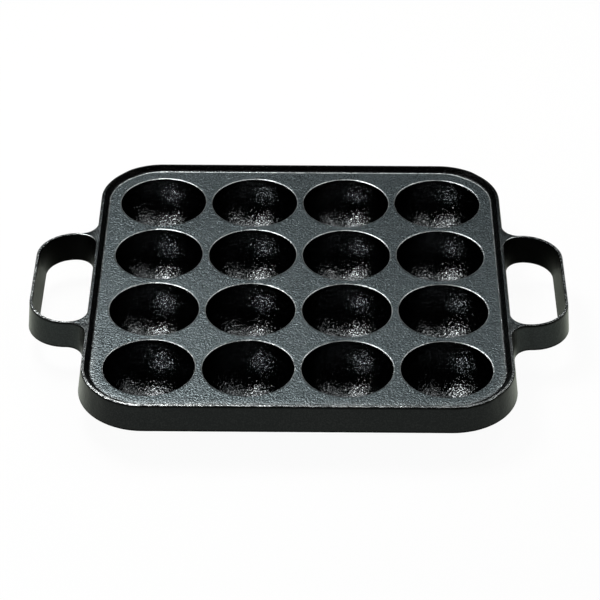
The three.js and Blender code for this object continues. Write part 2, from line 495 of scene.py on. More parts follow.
class ShaderBoard:
    """The nodes of a material or of the world."""

    noise_roughness = 0.55

    def __init__(self, owner: bpy.types.Material | bpy.types.World) -> None:
        """Empties the owner's nodes.

        Args:
            owner: what the nodes belong to.
        """
        owner.use_nodes = True
        self.tree = owner.node_tree
        self.tree.nodes.clear()

    def node(self, kind: str, settings: dict[str, Any] | None = None, **sockets: Any) -> bpy.types.Node:
        """Makes a node.

        Args:
            kind: the node's type.
            settings: its settings, with "stops" for a ramp's places and colours.
            sockets: values or signals for its inputs, named with underscores for spaces, or
                with "at_" and a number where names repeat.

        Returns:
            The node.
        """
        made = self.tree.nodes.new(kind)
        for name, value in (settings or {}).items():
            if name == "stops":
                ramp = made.color_ramp.elements
                while len(ramp) < len(value):
                    ramp.new(1.0)
                for stop, (place, colour) in zip(ramp, value):
                    stop.position = place
                    stop.color = (*colour, 1)
            else:
                setattr(made, name, value)
        for name, value in sockets.items():
            key: str | int = int(name[3:]) if name.startswith("at_") else name.replace("_", " ")
            socket = made.inputs[key]
            if isinstance(value, Signal):
                self.tree.links.new(value.output, socket)
            elif isinstance(value, tuple) and socket.type == "RGBA":
                socket.default_value = (*value, 1)
            else:
                socket.default_value = value
        return made

    def signal(
        self, kind: str, output: str | int, settings: dict[str, Any] | None = None, **sockets: Any,
    ) -> Signal:
        """Makes a node as above and gives one of its outputs, by name or number."""
        return Signal(self, self.node(kind, settings, **sockets).outputs[output])

    def math(self, operation: str, first: Signal | float, second: Signal | float) -> Signal:
        """A sum on two numbers."""
        return self.signal("ShaderNodeMath", 0, {"operation": operation}, at_0=first, at_1=second)

    def ramp(self, value: Signal, low: float, high: float) -> Signal:
        """A smooth step from 0 at low to 1 at high."""
        settings = {"interpolation_type": "SMOOTHSTEP"}
        return self.signal("ShaderNodeMapRange", 0, settings, Value=value, From_Min=low, From_Max=high)

    def blend(self, share: Signal, first: Signal | Colour, second: Signal | Colour) -> Signal:
        """A colour that goes from first to second with the share."""
        settings = {"data_type": "RGBA"}
        return self.signal("ShaderNodeMix", 2, settings, at_0=share, at_6=first, at_7=second)

    def mark(self, mark: Mark) -> Signal:
        """The share of a mark on the surface."""
        return self.signal("ShaderNodeAttribute", "Fac", {"attribute_name": mark.value})

    def noise(self, place: Signal, size: float, detail: float) -> Signal:
        """Noise whose grains are about as large as the size, in metres."""
        sockets = {"Scale": 1 / size, "Detail": detail, "Roughness": self.noise_roughness}
        return self.signal("ShaderNodeTexNoise", 0, Vector=place, **sockets)

    def ray(self, kind: Ray) -> Signal:
        """Is 1 for a ray of this kind, and 0 otherwise."""
        return self.signal("ShaderNodeLightPath", kind.value)


@dataclass(frozen=True)
class IronFinish:
    """Black iron with a thin baked coating, rough from the sand mould.

    The plate's flat land is paler, partly as painted sheen, and darker in its grain's hollows as
    painted shade. The other faces are dark, with small glints. Faces marked with painted shade are
    black and duller, and marked edges show bright iron in places, partly from use and partly as
    painted highlight.
    Sizes and depths of the grain are in metres, and a ramp has its low and its high end.
    """

    name: str
    dark_colour: Colour
    glint_colour: Colour
    dark_roughness: float = 0.30
    dark_grain: float = 0.00004
    grain_size: float = 0.0012
    coarse_times: float = 3.3
    coarse_share: float = 0.4
    pimple_times: float = 1.25
    pimple_share: float = 0.6
    glint_size: float = 0.0006
    glint_ramp: Pair = (0.44, 0.66)
    speck_fine: float = 0.6
    speck_ramp: Pair = (0.38, 0.62)
    patch_size: float = 0.006
    patch_ramp: Pair = (0.35, 0.6)
    scratch_ramp: Pair = (0.3, 0.5)
    cloud_size: float = 0.03
    cloud_spread: float = 0.1
    # Land tone, partly painted sheen.
    land_and_sheen_colour: Colour = (0.112, 0.136, 0.142)
    pit_shade_colour: Colour = (0.034, 0.042, 0.045)
    land_roughness: float = 0.28
    land_grain: float = 0.00030
    land_metal: float = 0.75
    # Painted shade: the black of faces that lie in shade.
    painted_shade_colour: Colour = (0.003, 0.003, 0.003)
    painted_shade_roughness: float = 0.2
    # Bright iron on marked edges, partly from use and partly painted highlight.
    wear_and_highlight_colour: Colour = (0.76, 0.78, 0.77)
    edge_roughness: float = 0.34
    edge_smoothing: float = 0.95
    edge_least: float = 0.7
    patch_least: float = 0.55

    def material(self) -> bpy.types.Material:
        """Makes the material, on Object coordinates and the mesh's marks.

        Returns:
            The material, whose noises run from 0 to 1 about a middle of 0.5.
        """
        made = bpy.data.materials.new(self.name)
        board = ShaderBoard(made)
        place = board.signal("ShaderNodeTexCoord", "Object")
        land = board.mark(Mark.LAND_AND_PAINTED_SHEEN)
        edge = board.mark(Mark.EDGE)
        fine = board.noise(place, self.grain_size, 2.0)
        coarse = board.noise(place, self.grain_size * self.coarse_times, 2.0)
        cloud = board.noise(place, self.cloud_size, 3.0)
        pimples = board.signal(
            "ShaderNodeTexVoronoi", "Distance", {"feature": "SMOOTH_F1"},
            Vector=place, Scale=1 / (self.grain_size * self.pimple_times), Smoothness=0.5,
        )
        depth = self.dark_grain + land * (self.land_grain - self.dark_grain)
        rubbed = 1 - edge * self.edge_smoothing
        grain = fine + (1 - pimples) * self.pimple_share + coarse * self.coarse_share
        height = grain * depth * rubbed
        bump = board.signal("ShaderNodeBump", 0, Strength=1.0, Distance=1.0, Height=height)
        tiny = board.noise(place, self.glint_size, 1.0)
        # Painted shade: the grain's hollows darken to the pit colour, while its peaks stay lighter.
        speck = board.ramp(fine * self.speck_fine + tiny * (1 - self.speck_fine), *self.speck_ramp)
        land_and_sheen_tone = board.blend(speck, self.pit_shade_colour, self.land_and_sheen_colour)
        glint = board.ramp(tiny + (cloud - 0.5) * (2 * self.cloud_spread), *self.glint_ramp)
        dark = board.blend(glint, self.dark_colour, self.glint_colour)
        # Bright iron on marked edges, in patches and scratches: partly from use, partly painted
        # highlight.
        patches = board.ramp(board.noise(place, self.patch_size, 2.0), *self.patch_ramp)
        scratched = board.ramp(fine, *self.scratch_ramp) * (1 - self.edge_least) + self.edge_least
        wear_and_highlight_share = edge * scratched * (patches * (1 - self.patch_least) + self.patch_least)
        # Painted sheen in part: the flat land is paler than the dark faces.
        tone = board.blend(land, dark, land_and_sheen_tone)
        # Painted shade darkens the marked faces to black.
        tone = board.blend(board.mark(Mark.PAINTED_SHADE), tone, self.painted_shade_colour)
        tone = board.blend(wear_and_highlight_share, tone, self.wear_and_highlight_colour)
        rough = self.dark_roughness + land * (self.land_roughness - self.dark_roughness)
        rough = rough + board.mark(Mark.PAINTED_SHADE) * self.painted_shade_roughness
        rough = rough + (cloud - 0.5) * self.cloud_spread + (fine - 0.5) * self.cloud_spread
        rough = rough + wear_and_highlight_share * (self.edge_roughness - rough)
        metal = 1 - land * (1 - wear_and_highlight_share) * (1 - self.land_metal)
        shader = board.signal(
            "ShaderNodeBsdfPrincipled", 0,
            Base_Color=tone, Roughness=rough, Metallic=metal, IOR=1.5, Normal=bump,
        )
        board.node("ShaderNodeOutputMaterial", Surface=shader)
        return made


@dataclass
class PanPiece:
    """Puts finished meshes into the scene as pieces of the pan, on its shared sizes and grain."""

    sizes: PanSizes
    grain: CastGrain
    # Painted shade laid on the undersides of the plate and the cups.
    under_painted_shade: float = 0.5
    melt: float = 0.8

    def grained(self, points: Array, normals: Array, share: float | Array) -> Array:
        """Moves points along their normals by the depth of the grain, times a share."""
        moved = (self.grain.height(points) - self.grain.crest) * share
        return points + normals * moved[..., None]

    def underside(self, plan: Array) -> Array:
        """Height of the casting's lower face over a place in plan.

        The balls of all the cups and the plate's flat underside melt into each other: minus
        melt times the logarithm of the sum of exp(-height / melt). The feet are cut off at Z = 0.

        Args:
            plan: places in plan, X and Y last.

        Returns:
            Heights in millimetres.
        """
        s, melt = self.sizes, self.melt
        middles = np.array([s.cup_middle(index) for index in range(s.cups_per_side)])
        across = (plan[..., 0, None] - middles) ** 2
        along = (plan[..., 1, None] - middles) ** 2
        distance = across[..., :, None] + along[..., None, :]
        balls = s.plate_top - np.sqrt(np.clip(s.bowl_radius**2 - distance, 0, None))
        total = np.exp(-balls / melt).sum((-2, -1)) + math.exp(-s.plate_underside / melt)
        return np.clip(-melt * np.log(total), 0, None)

    def place(self, mesh: bpy.types.Mesh, node: str, slot: Slot, *finishes: bpy.types.Material) -> None:
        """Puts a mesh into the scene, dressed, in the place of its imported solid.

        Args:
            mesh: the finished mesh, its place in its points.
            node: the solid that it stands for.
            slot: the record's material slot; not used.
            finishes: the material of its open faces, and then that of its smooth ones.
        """
        settle_normals(mesh, self.grain)
        for finish in finishes:
            mesh.materials.append(finish)
        piece = bpy.data.objects.new(f"{node}_casting", mesh)
        bpy.context.scene.collection.objects.link(piece)
        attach(piece, "root")
        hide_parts(node)
        log.info("%s: %d faces", piece.name, len(mesh.polygons))


@dataclass
class CupTile(PanPiece):
    """One cup with its tile of the plate: the hollow, its rounded mouth, the land and the bowl."""

    tolerance: float = 1e-9
    stations: int = 256
    hollow_rings: int = 48
    mouth_rings: int = 5
    hollow_end: float = 0.008
    lip_rings: int = 3
    lip_width: float = 0.45
    lip_slope: float = 0.2
    lip_wear_and_highlight: float = 0.38
    lip_highlight_behind: float = 0.27
    land_rings: int = 12
    bowl_rings: int = 18
    bowl_margin: float = 0.35
    flange_rings: int = 6

    def border(self, column: int, row: int) -> Array:
        """Outline of a tile in plan, one point for each even angle round the cup's middle.

        It is where the ray at that angle leaves the square tile, or, at a corner of the pan,
        the round corner of the plate, if that comes first.

        Args:
            column: the cup's column, from 0 at the left.
            row: the cup's row, from 0 at the front.

        Returns:
            The outline's points.
        """
        s = self.sizes
        middle = np.array([s.cup_middle(column), s.cup_middle(row)])
        angle = np.arange(self.stations) * (2 * math.pi / self.stations)
        ray = np.stack([np.cos(angle), np.sin(angle)], -1)
        reach = s.cup_pitch / 2 / np.abs(ray).max(1)
        last = s.cups_per_side - 1
        if column in (0, last) and row in (0, last):
            corner = np.sign(middle) * s.corner_centre - middle
            radius = s.grid_half - s.corner_centre
            along = ray @ corner
            far = along + np.sqrt(along**2 - corner @ corner + radius**2)
            past = ((ray * reach[:, None] - corner) * np.sign(middle) > self.tolerance).all(1)
            reach = np.where(past, far, reach)
        return middle + ray * reach[:, None]

    def profile(self) -> tuple[Array, Array]:
        """The hollow's profile from near its bottom, over its mouth and up the lip, rubbed to a slope.

        The hollow is an arc of a circle, a small round edge touches it and turns over into the
        lip, and the lip is a straight slope that ends level with the plate.

        Returns:
            Radius and height of each ring, and the normal there in the same two directions.
        """
        s = self.sizes
        low = s.mouth_rounding + self.lip_width * self.lip_slope
        mouth = math.sqrt((s.cup_radius + s.mouth_rounding) ** 2 - low**2)
        meet, tilt = math.atan2(low, mouth), math.atan(self.lip_slope)
        down = np.linspace(-math.pi / 2, -meet - self.hollow_end, self.hollow_rings)[1:]
        down = np.append(down, -meet)
        over = np.linspace(math.pi - meet, math.pi / 2 + tilt, self.mouth_rings + 1)[1:]
        ball = np.stack([np.cos(down), np.sin(down)], -1)
        edge = np.stack([np.cos(over), np.sin(over)], -1)
        rounded = np.array([mouth, s.plate_top - low]) + edge * s.mouth_rounding
        run = (s.plate_top - rounded[-1, 1]) / self.lip_slope
        lip = rounded[-1] + np.array([run, run * self.lip_slope]) * shares(self.lip_rings)[:, None]
        places = [np.array([0.0, s.plate_top]) + ball * s.cup_radius, rounded, lip]
        normals = [-ball, edge, np.repeat(edge[-1:], self.lip_rings, 0)]
        return np.concatenate(places), np.concatenate(normals)

    def build(self, column: int, row: int, finish: bpy.types.Material) -> None:
        """Builds one tile and places it.

        Args:
            column: the cup's column, from 0 at the left.
            row: the cup's row, from 0 at the front.
            finish: the tile's material.
        """
        s = self.sizes
        middle = np.array([s.cup_middle(column), s.cup_middle(row)])
        border = self.border(column, row)
        spoke = border - middle
        reach = np.linalg.norm(spoke, axis=1, keepdims=True)
        ray = spoke / reach
        rings, leans = self.profile()
        hollow = at_height(middle + ray * rings[:, None, :1], rings[:, None, 1])
        hollow_normals = at_height(ray * leans[:, None, :1], leans[:, None, 1])
        share = shares(self.land_rings)[:, None, None]
        lip_end = rings[-1, 0]
        land_plan = middle + ray * (lip_end + (reach - lip_end) * share)
        land_plan[-1] = border
        land = at_height(land_plan, s.plate_top)
        land_normals = np.broadcast_to((0.0, 0.0, 1.0), land.shape)
        top = np.concatenate([hollow, land])
        top = self.grained(top, np.concatenate([hollow_normals, land_normals]), 1.0)

        foot_angle = math.acos((s.bowl_radius - s.foot_cut) / s.bowl_radius)
        edge = np.minimum(s.bowl_radius, reach) - self.bowl_margin
        bowl_share = np.linspace(0, 1, self.bowl_rings)[:, None, None]
        swing = foot_angle + (np.arcsin(edge / s.bowl_radius) - foot_angle) * bowl_share
        bowl_plan = middle + ray * np.sin(swing) * s.bowl_radius
        flange_plan = middle + ray * (edge + (reach - edge) * shares(self.flange_rings)[:, None, None])
        flange_plan[-1] = border
        under_plan = np.concatenate([bowl_plan, flange_plan])
        under = at_height(under_plan, self.underside(under_plan))

        dark, flat = np.zeros(self.hollow_rings), np.zeros(self.land_rings)
        over, out = shares(self.mouth_rings), 1 - shares(self.lip_rings)
        land_mark = np.concatenate([dark, over**4, out * 0 + 1, flat + 1])
        edge_mark = np.concatenate([dark, over**2, out**0.5, flat])
        last_ring = np.arange(len(top)) == len(top) - 1
        marks = {Mark.LAND_AND_PAINTED_SHEEN: land_mark, Mark.EDGE: edge_mark, Mark.BORDER: last_ring}
        marks = {mark: share[:, None] for mark, share in marks.items()} | {Mark.OPEN: 1.0}
        # Bright iron on the mouth's edge and lip, partly from use and partly painted highlight,
        # strongest on the far side.
        marks[Mark.EDGE] = marks[Mark.EDGE] * (self.lip_wear_and_highlight + self.lip_highlight_behind * ray[:, 1])
        body = Surface()
        top_rows = body.add(top, marks)
        under_rows = body.add(under, {Mark.OPEN: 1.0, Mark.PAINTED_SHADE: self.under_painted_shade})
        pole_place = np.array([[*middle, s.plate_top - s.cup_radius]])
        up = np.array([[0.0, 0.0, 1.0]])
        bottom = body.add(self.grained(pole_place, up, 1.0), {Mark.OPEN: 1.0})
        foot = body.add(np.array([[*middle, 0.0]]), {Mark.OPEN: 1.0, Mark.PAINTED_SHADE: self.under_painted_shade})
        body.skin(top_rows, Facing.AGAINST)
        body.cap(top_rows[0], int(bottom[0]), Facing.ALONG)
        body.skin(under_rows, Facing.ALONG)
        body.cap(under_rows[0], int(foot[0]), Facing.AGAINST)
        body.skin(np.stack([under_rows[-1], top_rows[-1]]), Facing.ALONG)
        node = f"cup_row_{row + 1}_column_{column + 1}"
        self.place(body.mesh(node), node, Slot.PLATE, finish)


@dataclass
class RimAndHandles(PanPiece):
    """The border of the plate, the rim, the skirt and the two loop handles.

    They are worked out as one closed shell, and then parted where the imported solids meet. Sizes
    are in millimetres, a zone has its start and its run, and a rise is a share of the height from
    the plate to the rim's top.
    """

    edge_rounding: float = 0.42
    edge_fall: float = 0.12
    flat_ring: float = 0.2
    foot_rounding: float = 0.4
    groove_radius: float = 2.0
    crest_radius: float = 0.4
    crest_end: float = 0.3
    shoulder_radius: float = 2.2
    heel_radius: float = 0.6
    heel_width: float = 0.7
    loop_clearance: float = 0.3
    web_length: float = 5.0
    stretch: float = 0.55
    stretch_run: float = 3.0
    rim_spacing: float = 0.6
    under_spacing: float = 0.9
    front_steps: int = 90
    corner_steps: int = 56
    side_steps: int = 30
    gap_steps: int = 34
    root_steps: int = 20
    arm_steps: int = 2
    bend_steps: int = 36
    grip_steps: int = 24
    wall_rings: int = 14
    rounding_rings: int = 5
    rim_steps: int = 8
    skirt_grain: float = 0.4
    melt_run: float = 1.0
    front_zone: Pair = (0.3, 0.5)
    back_zone: Pair = (0.65, 0.3)
    slope_rise: float = 0.001
    plate_rise: float = 0.05
    crest_rise: float = 0.97
    top_rise: float = 0.995
    # The slope, shade and foot zones place painted shade.
    slope_shade_zone: Pair = (0.03, 0.1)
    shade_zone: Pair = (-0.7, 0.3)
    open_zone: Pair = (-0.28, 0.5)
    foot_shade_zone: Pair = (-0.8, 0.5)
    glint_zone: Pair = (0.75, 1 / 6)
    web_zone: Pair = (0.3, 1.5)
    under_open: float = 0.6
    # Painted sheen on the rim's top.
    top_sheen_share: float = 0.4
    # Painted highlight on the plate's strip by the rim.
    front_strip_highlight: float = 0.2
    strip_highlight_least: float = 0.1
    strip_highlight_behind: float = 0.62
    strip_highlight_right: float = 0.08
    # Levels of bright iron on edges, partly from use and partly painted highlight where light catches
    # them.
    side_highlight: float = 0.12
    front_highlight: float = 0.75
    inner_highlight: float = 0.15
    loop_highlight: float = 0.75
    ring_highlight: float = 0.4
    highlight_power: int = 12
    land_power: int = 4
    cut_tolerance: float = 1e-8

    def quarter(self, lean: float) -> Array:
        """A quarter of the outer outline in plan, from the front's middle to the handle's middle.

        Args:
            lean: 0 for the outline at the rim's top, and 1 for that at the skirt's foot.

        Returns:
            The outline's points, both ends included.
        """
        s = self.sizes
        wall = s.body_half + s.skirt_lean * lean
        centre, right = s.corner_centre, math.pi / 2
        half = s.handle_width / 2 + s.handle_outer_lean * lean
        outer = s.body_half + s.handle_reach + s.handle_outer_lean * lean
        root = s.handle_root_radius
        runs = [
            line((0, -wall), (centre, -wall), self.front_steps),
            arc((centre, -centre), wall - centre, -right, 0, self.corner_steps),
            line((wall, -centre), (wall, -half - root), self.side_steps),
            arc((wall + root, -half - root), root, 2 * right, right, self.root_steps),
            *self.loop_end(wall, half, outer, s.handle_corner_radius + s.handle_outer_lean * lean),
        ]
        return np.concatenate(runs)

    def loop_end(self, wall: float, half: float, outer: float, radius: float) -> list[Array]:
        """The part of an outline that runs from the root of a handle to the handle's middle.

        Args:
            wall: how far out the wall lies.
            half: half the width over the outline.
            outer: how far out the handle reaches.
            radius: radius of the handle's bend, where there is room for it.

        Returns:
            The outline's runs, the end included.
        """
        root = self.sizes.handle_root_radius
        bend = min(radius, outer - wall - root - self.loop_clearance)
        return [
            line((wall + root, -half), (outer - bend, -half), self.arm_steps),
            arc((outer - bend, bend - half), bend, -math.pi / 2, 0, self.bend_steps),
            line((outer, bend - half), (outer, 0), self.grip_steps),
            np.array([[outer, 0.0]]),
        ]

    def gap(self, lean: float) -> Array:
        """Half of the outline of the hole in the right handle, on the -Y side.

        Args:
            lean: 0 for the outline at the rim's top, and 1 for that at the skirt's foot.

        Returns:
            The outline's points from the wall to the handle's middle, both ends included.
        """
        s = self.sizes
        wall = s.body_half + s.skirt_lean * lean
        right, root = math.pi / 2, s.handle_root_radius
        shrink = s.handle_top_thickness + s.handle_inner_lean * lean
        half = s.handle_width / 2 - shrink
        outer = s.body_half + s.handle_reach - shrink
        runs = [
            line((wall, 0), (wall, root - half), self.gap_steps),
            arc((wall + root, root - half), root, 2 * right, 3 * right, self.root_steps),
            *self.loop_end(wall, half, outer, s.handle_corner_radius - shrink),
        ]
        return np.concatenate(runs)

    def wall(self, foot: Array, top: Array, outward: Facing) -> Array:
        """An upright band between an outline at the foot and one at the rim's top.

        Each ring is the two outlines mixed by height, and near both edges it is drawn into the
        iron by r - sqrt(r^2 - (r - h)^2), h being the height left to the edge, so that the edge
        is round. A last ring lies flat on the top, a little further in.

        Args:
            foot: closed outline at the skirt's foot.
            top: closed outline at the rim's top, point for point.
            outward: ALONG where the iron lies to the left of the outline's way.

        Returns:
            The rings from the foot up.
        """
        s = self.sizes
        swing = np.linspace(0, math.pi / 2, self.rounding_rings + 1)
        low, high = self.foot_rounding, self.edge_rounding
        middle = np.linspace(s.skirt_foot + low, s.rim_top - high, self.wall_rings + 1)[1:-1]
        heights = np.concatenate([
            s.skirt_foot + low * (1 - np.cos(swing)),
            middle,
            s.rim_top - high * (1 - np.sin(swing)),
            [s.rim_top],
        ])
        drawn = np.concatenate([
            low * (1 - np.sin(swing)),
            np.zeros(len(middle)),
            high * (1 - np.cos(swing)),
            [high + self.flat_ring],
        ])
        share = ((s.rim_top - heights) / (s.rim_top - s.skirt_foot))[:, None, None]
        plan = top * (1 - share) + foot * share
        way = np.roll(plan, -1, 1) - np.roll(plan, 1, 1)
        out = np.stack([way[..., 1], -way[..., 0]], -1) * outward.value
        out /= np.linalg.norm(out, axis=-1, keepdims=True)
        plan = plan - out * drawn[:, None, None]
        return at_height(plan, heights[:, None])

    def plate_edge(self, tiles: CupTile) -> Array:
        """The line where the cups' tiles end, as the tiles have it, once round from the front right.

        A corner tile gives half a turn round its cup, and the next ones along a side a quarter.
        The half turn of the first corner starts at five eighths of a turn from +X.

        Args:
            tiles: what makes the tiles.

        Returns:
            The line's points in plan.
        """
        last = self.sizes.cups_per_side - 1
        eighth = tiles.stations // 8
        corners = [(last, 0), (last, last), (0, last), (0, 0)]
        steps = [(0, 1), (-1, 0), (0, -1), (1, 0)]
        parts = []
        for turn, ((column, row), (across, along)) in enumerate(zip(corners, steps)):
            start = (5 + 2 * turn) * eighth
            order = (start + np.arange(4 * eighth)) % tiles.stations
            parts.append(tiles.border(column, row)[order])
            side = (start + 2 * eighth + np.arange(2 * eighth)) % tiles.stations
            for step in range(1, last):
                parts.append(tiles.border(column + across * step, row + along * step)[side])
        return np.concatenate(parts)

    def shell(self, tiles: CupTile) -> bpy.types.Mesh:
        """Works out the whole closed shell.

        Args:
            tiles: what makes the tiles that it meets.

        Returns:
            The shell's mesh.
        """
        s = self.sizes
        edge = self.plate_edge(tiles)
        core = np.clip(edge, -s.corner_centre, s.corner_centre)
        out = (edge - core) / np.linalg.norm(edge - core, axis=1, keepdims=True)
        start = s.grid_half - s.body_half
        rim = filleted(
            [
                (start, s.plate_top),
                (-s.rim_top_width - s.rim_slope_run, s.plate_top),
                (-s.rim_top_width, s.rim_top),
                (-s.rim_top_width + self.crest_end, s.rim_top),
            ],
            [self.groove_radius, self.crest_radius], self.rim_steps, self.rim_spacing,
        )
        inner_plan = core + out * (s.corner_radius + rim[:, None, :1])
        inner_plan[0] = edge
        inner = self.stretched(at_height(inner_plan, rim[:, None, 1]))
        inner = self.grained(inner, loop_normals(inner, Facing.AGAINST), 1.0)

        foot_inner = s.skirt_lean - s.skirt_wall
        depth = (s.rim_top - s.plate_underside) / (s.rim_top - s.skirt_foot)
        shoulder = s.skirt_lean * depth - s.skirt_wall
        below = filleted(
            [
                (start, s.plate_underside),
                (shoulder, s.plate_underside),
                (foot_inner, s.skirt_foot),
                (foot_inner + self.heel_width, s.skirt_foot),
            ],
            [self.shoulder_radius, self.heel_radius], self.rounding_rings, self.under_spacing,
        )
        under_plan = core + out * (s.corner_radius + below[:, None, :1])
        under_plan[0] = edge
        sag = self.underside(under_plan) - s.plate_underside
        reach = rising(shoulder - below[:, :1], 0, self.melt_run)
        under = at_height(under_plan, below[:, None, 1] + sag * reach)

        outline_top, outline_foot = (self.whole(self.quarter(lean)) for lean in (0.0, 1.0))
        outer = self.stretched(self.wall(outline_foot, outline_top, Facing.ALONG))
        outer = self.grained(outer, loop_normals(outer, Facing.ALONG), self.skirt_grain)
        outer[..., 2] -= self.edge_fall * self.near_top(outer) * (1 - self.on_handle(outer))
        gap_top, gap_foot = (closed_by_mirror(self.gap(lean)) for lean in (0.0, 1.0))
        against = Facing.AGAINST
        gaps = [self.wall(gap_foot * side, gap_top * side, against) for side in (1, -1)]
        gaps = [self.grained(rows, loop_normals(rows, against), self.skirt_grain) for rows in gaps]

        body = Surface()
        inner_rows = body.add(inner, self.rim_marks(inner, rim))
        under_rows = body.add(under, {Mark.OPEN: self.under_open, Mark.PAINTED_SHADE: self.under_painted_shade})
        outer_rows = body.add(outer, self.band_marks(outer))
        # Painted shade: the inner faces of the handles' loops are black below their top edge.
        gap_marks = [self.band_marks(rows) | {Mark.PAINTED_SHADE: 1 - self.near_top(rows)} for rows in gaps]
        gap_rows = [body.add(rows, marks) for rows, marks in zip(gaps, gap_marks)]
        body.skin(inner_rows, against)
        body.skin(under_rows, Facing.ALONG)
        body.skin(np.stack([under_rows[0], inner_rows[0]]), against)
        body.skin(outer_rows, Facing.ALONG)
        for rows in gap_rows:
            body.skin(rows, against)
        for level, middle_grid, middle_rows, facing in (
            (-1, inner, inner_rows, Facing.ALONG),
            (0, under, under_rows, against),
        ):
            plans = [outer[level], middle_grid[-1], *(rows[level] for rows in gaps)]
            numbers = [outer_rows[level], middle_rows[-1], *(rows[level] for rows in gap_rows)]
            loops = [len(plan) for plan in plans]
            body.flat(np.concatenate(plans)[:, :2], np.concatenate(numbers), loops, facing)
        return body.mesh("rim_and_handles")

    def rim_marks(self, inner: Array, rim: Array) -> dict[Mark, float | Array]:
        """Marks of the plate's outer strip, the rim's slope and the inner part of its top.

        The strip has the plate's land tone, with bright iron as painted highlight where it meets the
        slope, most of all behind. The slope is black with painted shade, and so is the top along the
        front and the back.

        Args:
            inner: the surface's points, ring after ring.
            rim: the profile's place and height at each ring.

        Returns:
            The share of each mark.
        """
        s = self.sizes
        rise = rising(rim[:, 1:], s.plate_top, s.rim_height)
        on_plate = rise < self.plate_rise
        behind, right = (rising(inner[..., axis], 0, s.grid_half) for axis in (1, 0))
        # Painted highlight: bright iron on the strip where it meets the slope, strongest behind and to
        # the right, and faint along the front.
        strip_highlight = self.strip_highlight_least + self.strip_highlight_behind * behind + self.strip_highlight_right * right
        strip_highlight = (rise > self.slope_rise) * on_plate * np.clip(strip_highlight, 0, 1)
        strip = rising(rim[:, :1], s.grid_half - s.body_half, s.plate_border) ** 2
        front = self.at_front(inner)
        strip_highlight = np.maximum(strip_highlight, self.front_strip_highlight * front * strip * on_plate)
        crest = rising(rise, self.crest_rise, 1 - self.crest_rise)
        # Painted shade: the slope, and the top along the front and the back, are black.
        slope = rising(rise, *self.slope_shade_zone)
        black = np.maximum(self.at_back(inner), front)
        pale = self.top_painted_sheen(inner) * crest * (1 - front)
        return {
            Mark.OPEN: 1.0,
            Mark.LAND_AND_PAINTED_SHEEN: np.clip(1 - rise / self.plate_rise, 0, 1) + pale,
            Mark.EDGE: np.where(rise > self.top_rise, self.edge_wear_and_highlight(inner) * self.inner_highlight, strip_highlight),
            Mark.PAINTED_SHADE: np.where(rise > self.crest_rise, black, slope),
            Mark.BORDER: (np.arange(len(rim)) == 0)[:, None],
        }

    def near_top(self, rows: Array) -> Array:
        """Share of the rounding of a band's top edge that lies below each point."""
        return rising(rows[..., 2] - self.sizes.rim_top, -self.edge_rounding, self.edge_rounding)

    def stretched(self, points: Array) -> Array:
        """Moves the front and back rims out a little, and less the lower they are.

        The move along Y grows from 0 at the tiles' edge to its full length past a short run, times
        the height over the skirt's foot, as a share of the whole height.

        Args:
            points: places on the surface.

        Returns:
            The moved places.
        """
        s = self.sizes
        past = rising(np.abs(points[..., 1]), s.grid_half, self.stretch_run)
        share = rising(points[..., 2], s.skirt_foot, s.plate_top - s.skirt_foot)
        moved = points.copy()
        moved[..., 1] += np.sign(points[..., 1]) * self.stretch * past * share
        return moved

    def at_front(self, rows: Array) -> Array:
        """Goes from 0 along the sides to 1 along the front."""
        return rising(-rows[..., 1] / self.sizes.grid_half, *self.front_zone)

    def edge_wear_and_highlight(self, rows: Array) -> Array:
        """Bright iron on the rim's outer edge, partly from use and partly painted highlight, strongest
        along the front.
        """
        front = self.at_front(rows)
        return (self.side_highlight + (self.front_highlight - self.side_highlight) * front) * (1 - self.at_back(rows))

    def at_back(self, rows: Array) -> Array:
        """Goes from 0 along the sides to 1 along the back."""
        return rising(rows[..., 1] / self.sizes.grid_half, *self.back_zone)

    def top_painted_sheen(self, rows: Array) -> Array:
        """Share of painted sheen, a paler tone, on the rim's top, which is black along the back."""
        return self.top_sheen_share * (1 - self.at_back(rows))

    def on_handle(self, rows: Array) -> Array:
        """Is 0 on the walls, and goes to 1 past the web between a wall and a handle's loop."""
        return rising(np.abs(rows[..., 0]) - self.sizes.body_half, self.web_length, self.web_length)

    def band_marks(self, rows: Array) -> dict[Mark, Array]:
        """Marks of an upright band: painted shade below its top edge and at its foot, bright iron on
        top.

        The bright iron is partly from use and partly painted highlight. It grows with a high power of
        the height in the edge's rounding. Along the front it starts lower, and past the wall it grows
        to that of the handles' loops.

        Args:
            rows: the band's points, ring after ring, the last ring lying on its flat top.

        Returns:
            The share of each mark.
        """
        loop, front = self.on_handle(rows), self.at_front(rows)
        height = rows[..., 2] - self.sizes.skirt_foot
        level = rows[..., 2] - self.sizes.rim_top + self.edge_rounding
        fallen = self.edge_fall / self.edge_rounding * (1 - loop)
        share = np.clip(self.near_top(rows) / (1 - fallen), 0, 1)
        crest = share**self.highlight_power
        out = np.abs(rows[..., 0]) - self.sizes.body_half
        reach = rising(out, *self.web_zone)
        # Painted highlight along the front's top edge, and on the handles' loops.
        glint = rising(share, *self.glint_zone) * front * (1 - loop)
        last = (np.arange(len(rows)) == len(rows) - 1)[:, None]
        kept = np.where(last, np.maximum(loop, front * (1 - reach) * self.ring_highlight), 1.0)
